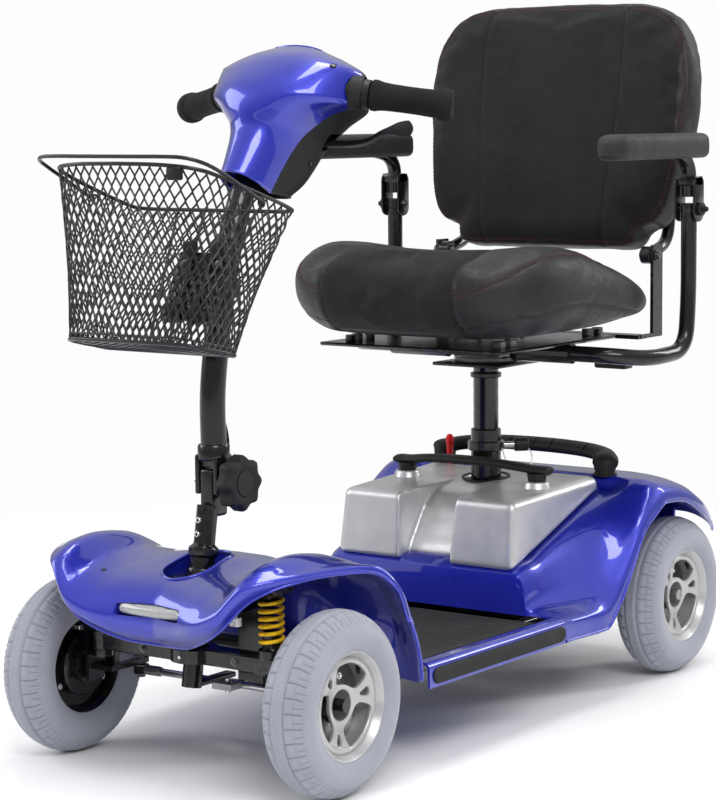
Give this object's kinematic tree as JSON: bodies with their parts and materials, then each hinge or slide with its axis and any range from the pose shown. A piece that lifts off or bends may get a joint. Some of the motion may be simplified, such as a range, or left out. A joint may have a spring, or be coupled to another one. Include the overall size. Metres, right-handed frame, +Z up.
{
  "type": "mobility scooter",
  "caption": "Compact battery mobility scooter with a tilting tiller, wire basket, swivelling armchair seat, lift-off battery pack and steered sprung front axle.",
  "frame": {"origin": "on the ground, on the mid-plane, below the centre of the overall length", "axes": "+Z up, -Y forward (the way it drives), +X to the rider's left"},
  "size_m": [0.545, 1.0821, 0.9664],
  "materials": {
    "blue_paint": "metallic blue lacquer",
    "silver_paint": "metallic silver lacquer",
    "alloy": "silver painted alloy",
    "black_paint": "gloss black powder coat",
    "bright_steel": "bright zinc plate",
    "cast_alloy": "as cast",
    "rubber": "matt moulded rubber",
    "tyre_grey": "light grey non-marking rubber",
    "black_plastic": "fine moulded grain",
    "lamp_lens": "clear moulded lens over a silver reflector",
    "spring_yellow": "yellow powder coat",
    "red_plastic": "red moulded plastic",
    "seat_fabric": "black spacer mesh with grained vinyl sides",
    "arm_pad_foam": "grained self-skinning foam"
  },
  "bodies": {
    "chassis": {"main_frame": "black_paint", "floor_pan": "blue_paint", "floor_mat": "rubber", "skirt_trim_left": "rubber", "skirt_trim_right": "rubber", "front_cover": "blue_paint", "headlight_lens": "lamp_lens", "rear_cover": "blue_paint", "battery_box": "silver_paint", "battery_left": "black_plastic", "battery_right": "black_plastic", "battery_handle": "black_plastic", "rear_lift_handle": "black_plastic", "transaxle": "alloy", "drive_motor": "black_paint", "controller": "cast_alloy", "seat_post_receiver": "black_paint", "spring_left": "spring_yellow", "spring_right": "spring_yellow"},
    "front_axle": {"front_axle_beam": "black_paint"},
    "knuckle_left": {"knuckle_left": "black_paint"},
    "knuckle_right": {"knuckle_right": "black_paint"},
    "tie_rod": {"tie_rod": "bright_steel"},
    "front_wheel_left": {"tyre_front_left": "tyre_grey", "rim_front_left": "alloy"},
    "front_wheel_right": {"tyre_front_right": "tyre_grey", "rim_front_right": "alloy"},
    "rear_wheel_left": {"tyre_rear_left": "tyre_grey", "rim_rear_left": "alloy"},
    "rear_wheel_right": {"tyre_rear_right": "tyre_grey", "rim_rear_right": "alloy"},
    "column": {"steering_column": "black_paint"},
    "tiller": {"tiller_tube": "black_paint", "head_top_cover": "blue_paint", "head_lower_cover": "black_plastic", "handlebar": "black_paint", "grip_left": "rubber", "grip_right": "rubber", "basket_bracket": "black_paint", "basket": "black_paint"},
    "knob": {"tiller_knob": "black_plastic"},
    "throttle": {"throttle_lever": "black_plastic"},
    "dial": {"speed_dial": "black_plastic"},
    "key": {"key": "bright_steel"},
    "horn": {"horn_button": "red_plastic"},
    "bail": {"basket_handle": "black_paint"},
    "seat_post": {"seat_post": "black_paint"},
    "seat": {"seat_pan": "black_paint", "seat_cushion": "seat_fabric"},
    "swivel_lever": {"swivel_lever": "black_paint"},
    "backrest": {"backrest_frame": "black_paint", "backrest_cushion": "seat_fabric"},
    "arm_post_left": {"arm_post_left": "black_paint"},
    "arm_post_right": {"arm_post_right": "black_paint"},
    "arm_rest_left": {"arm_link_left": "black_paint", "arm_pad_left": "arm_pad_foam"},
    "arm_rest_right": {"arm_link_right": "black_paint", "arm_pad_right": "arm_pad_foam"},
    "freewheel": {"freewheel_lever": "red_plastic"}
  },
  "joints": [
    {"name": "axle_bump", "type": "hinge", "parent": "chassis", "child": "front_axle", "pos_m": [0, -0.2745, 0.14], "axis": [1, 0, 0], "range_deg": [-4, 2.5], "stiffness_Nm_per_rad": 300, "deforming": ["spring_left", "spring_right"]},
    {"name": "steer", "type": "hinge", "parent": "chassis", "child": "column", "pos_m": [0, -0.38819, 0.2], "axis": [0, 0.1633, 0.9866], "range_deg": [-35, 35]},
    {"name": "knuckle_left_steer", "type": "hinge", "parent": "front_axle", "child": "knuckle_left", "pos_m": [0.15, -0.3945, 0.1125], "axis": [0, 0, 1], "range_deg": [-35, 35]},
    {"name": "front_wheel_left_spin", "type": "hinge", "parent": "knuckle_left", "child": "front_wheel_left", "pos_m": [0.204, -0.3895, 0.1125], "axis": [1, 0, 0], "continuous": true},
    {"name": "rear_wheel_left_spin", "type": "hinge", "parent": "chassis", "child": "rear_wheel_left", "pos_m": [0.204, 0.4285, 0.1125], "axis": [1, 0, 0], "continuous": true},
    {"name": "knuckle_right_steer", "type": "hinge", "parent": "front_axle", "child": "knuckle_right", "pos_m": [-0.15, -0.3945, 0.1125], "axis": [0, 0, 1], "range_deg": [-35, 35]},
    {"name": "front_wheel_right_spin", "type": "hinge", "parent": "knuckle_right", "child": "front_wheel_right", "pos_m": [-0.204, -0.3895, 0.1125], "axis": [1, 0, 0], "continuous": true},
    {"name": "rear_wheel_right_spin", "type": "hinge", "parent": "chassis", "child": "rear_wheel_right", "pos_m": [-0.204, 0.4285, 0.1125], "axis": [1, 0, 0], "continuous": true},
    {"name": "tie_rod_swing", "type": "hinge", "parent": "knuckle_left", "child": "tie_rod", "pos_m": [0.15, -0.3215, 0.1], "axis": [0, 0, 1], "range_deg": [-35, 35]},
    {"name": "tiller_tilt", "type": "hinge", "parent": "column", "child": "tiller", "pos_m": [0, -0.3545, 0.358], "axis": [1, 0, 0], "range_deg": [-8, 25]},
    {"name": "knob_turn", "type": "hinge", "parent": "tiller", "child": "knob", "pos_m": [0.045, -0.3545, 0.358], "axis": [1, 0, 0], "continuous": true},
    {"name": "throttle_pull", "type": "hinge", "parent": "tiller", "child": "throttle", "pos_m": [0, -0.1615, 0.767], "axis": [0, 0, 1], "range_deg": [-12, 12], "stiffness_Nm_per_rad": 0.3},
    {"name": "dial_turn", "type": "hinge", "parent": "tiller", "child": "dial", "pos_m": [0, -0.1405, 0.849], "axis": [0, 0.8601, 0.5101], "range_deg": [-135, 135]},
    {"name": "key_turn", "type": "hinge", "parent": "tiller", "child": "key", "pos_m": [0.04, -0.1405, 0.849], "axis": [0, 0.8601, 0.5101], "range_deg": [0, 90]},
    {"name": "horn_press", "type": "slide", "parent": "tiller", "child": "horn", "axis": [0, -0.8601, -0.5101], "range_m": [0, 0.0015], "stiffness_N_per_m": 150},
    {"name": "basket_handle_swing", "type": "hinge", "parent": "tiller", "child": "bail", "pos_m": [0, -0.4175, 0.702], "axis": [1, 0, 0], "range_deg": [-90, 0]},
    {"name": "seat_height", "type": "slide", "parent": "chassis", "child": "seat_post", "axis": [0, 0, 1], "range_m": [0, 0.1]},
    {"name": "seat_swivel", "type": "hinge", "parent": "seat_post", "child": "seat", "pos_m": [0, 0.2625, 0.46], "axis": [0, 0, 1], "continuous": true},
    {"name": "swivel_lever_lift", "type": "hinge", "parent": "seat", "child": "swivel_lever", "pos_m": [0.05, 0.3275, 0.4745], "axis": [0, 1, 0], "range_deg": [-6, 0]},
    {"name": "back_fold", "type": "hinge", "parent": "seat", "child": "backrest", "pos_m": [0, 0.4225, 0.6], "axis": [1, 0, 0], "range_deg": [0, 80]},
    {"name": "arm_width_left", "type": "slide", "parent": "seat", "child": "arm_post_left", "axis": [1, 0, 0], "range_m": [0, 0.04]},
    {"name": "arm_flip_left", "type": "hinge", "parent": "arm_post_left", "child": "arm_rest_left", "pos_m": [0.25, 0.3985, 0.668], "axis": [1, 0, 0], "range_deg": [-90, 0]},
    {"name": "arm_width_right", "type": "slide", "parent": "seat", "child": "arm_post_right", "axis": [-1, 0, 0], "range_m": [0, 0.04]},
    {"name": "arm_flip_right", "type": "hinge", "parent": "arm_post_right", "child": "arm_rest_right", "pos_m": [-0.25, 0.3985, 0.668], "axis": [1, 0, 0], "range_deg": [-90, 0]},
    {"name": "freewheel_turn", "type": "hinge", "parent": "chassis", "child": "freewheel", "pos_m": [-0.119, 0.3485, 0.2], "axis": [0, 1, 0], "range_deg": [0, 15]}
  ],
  "couplings": [
    {"joint": "knuckle_left_steer", "follows": "steer", "ratio": 1},
    {"joint": "knuckle_right_steer", "follows": "steer", "ratio": 1},
    {"joint": "tie_rod_swing", "follows": "steer", "ratio": -1}
  ]
}
